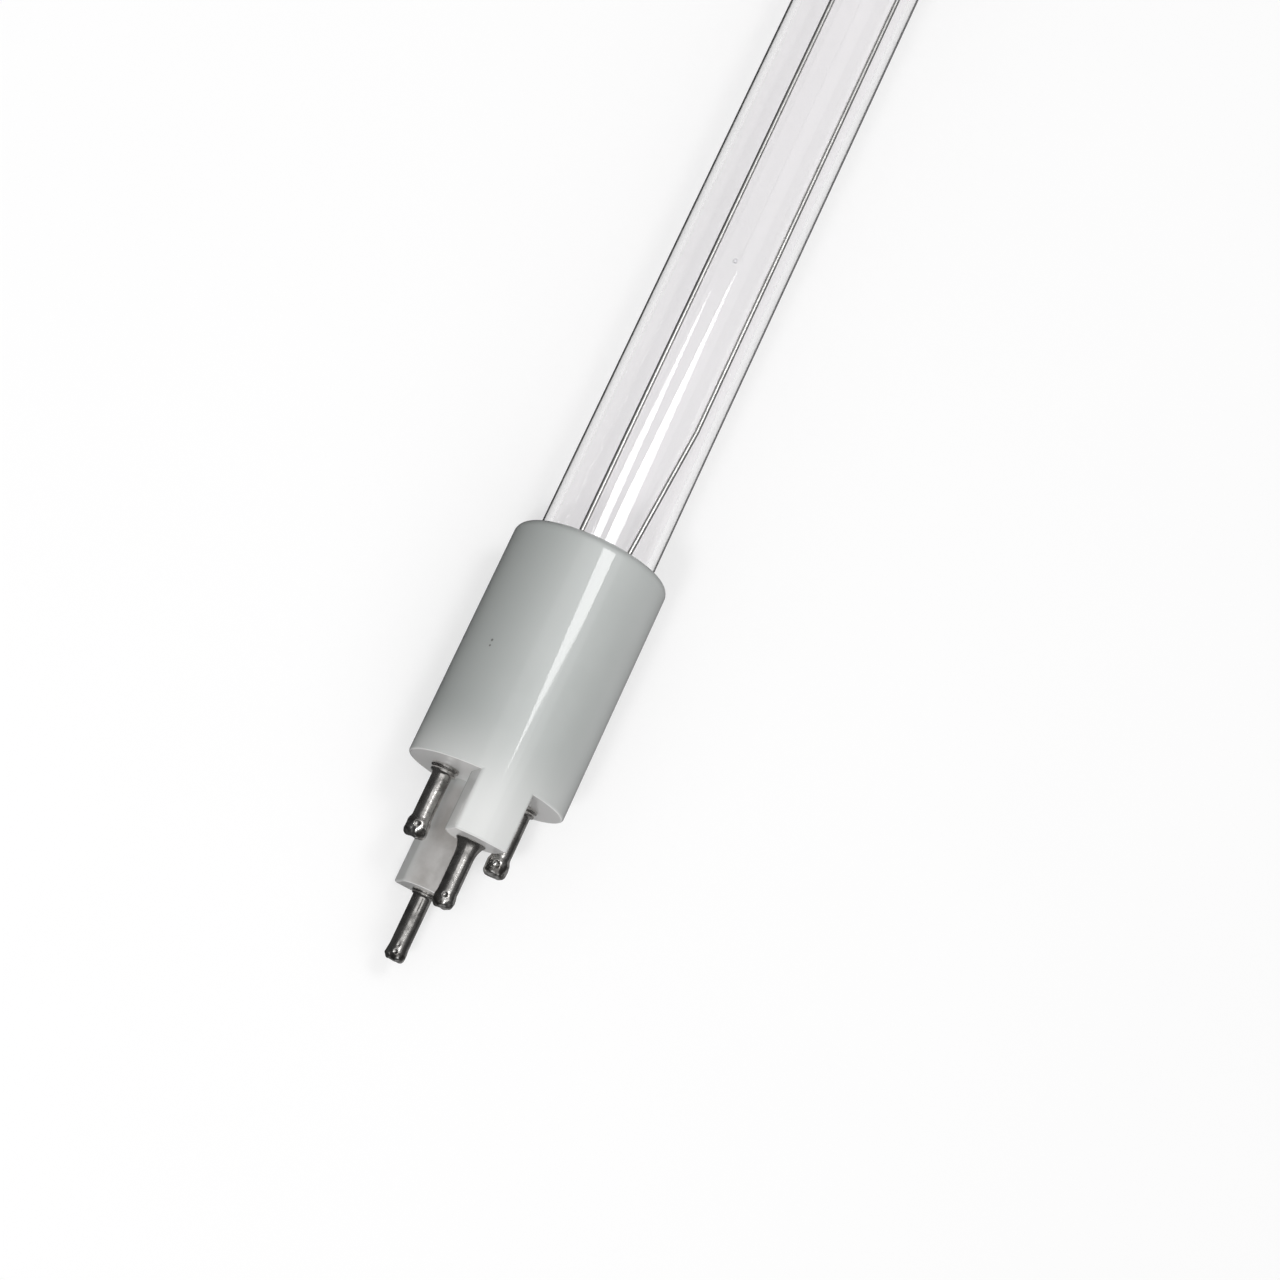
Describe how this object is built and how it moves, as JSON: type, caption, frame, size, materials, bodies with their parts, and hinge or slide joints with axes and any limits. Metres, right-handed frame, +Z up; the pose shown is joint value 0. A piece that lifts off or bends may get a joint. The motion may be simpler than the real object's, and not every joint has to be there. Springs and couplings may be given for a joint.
{
  "type": "germicidal lamp tube",
  "caption": "Slim clear quartz germicidal lamp with a stepped ceramic base, contact pins on three levels, return wires along the glass and a plain ceramic end cap.",
  "frame": {"origin": "middle of the lying lamp's length, on the surface it lies on", "axes": "+X along the lamp from the pins to the cap, +Z up, the long tongue of the base underneath"},
  "size_m": [0.3096, 0.02, 0.02],
  "materials": {
    "quartz": "polished",
    "base_ceramic": "gloss",
    "cap_ceramic": "gloss",
    "pin_metal": "polished",
    "wire_metal": "satin",
    "splice_metal": "satin",
    "post_metal": "satin",
    "tungsten": "matte",
    "foil_metal": "satin",
    "cement": "matte",
    "sleeve": "matte",
    "mercury": "polished"
  },
  "bodies": {
    "root": {"base_cement": "cement", "cap_cement": "cement", "cathode_base": "tungsten", "cathode_cap": "tungsten", "cathode_post_base_left": "post_metal", "cathode_post_base_right": "post_metal", "cathode_post_cap_left": "post_metal", "cathode_post_cap_right": "post_metal", "contact_pin_left": "pin_metal", "contact_pin_long": "pin_metal", "contact_pin_middle": "pin_metal", "contact_pin_right": "pin_metal", "crossing_sleeve": "sleeve", "end_cap": "cap_ceramic", "lead_wire_base_left": "wire_metal", "lead_wire_base_right": "wire_metal", "lead_wire_cap_left": "wire_metal", "lead_wire_cap_right": "wire_metal", "mercury_drop": "mercury", "pin_base": "base_ceramic", "quartz_tube": "quartz", "return_wire_left": "wire_metal", "return_wire_right": "wire_metal", "seal_foil_base_left": "foil_metal", "seal_foil_base_right": "foil_metal", "seal_foil_cap_left": "foil_metal", "seal_foil_cap_right": "foil_metal", "splice_left": "splice_metal", "splice_right": "splice_metal"}
  },
  "joints": []
}
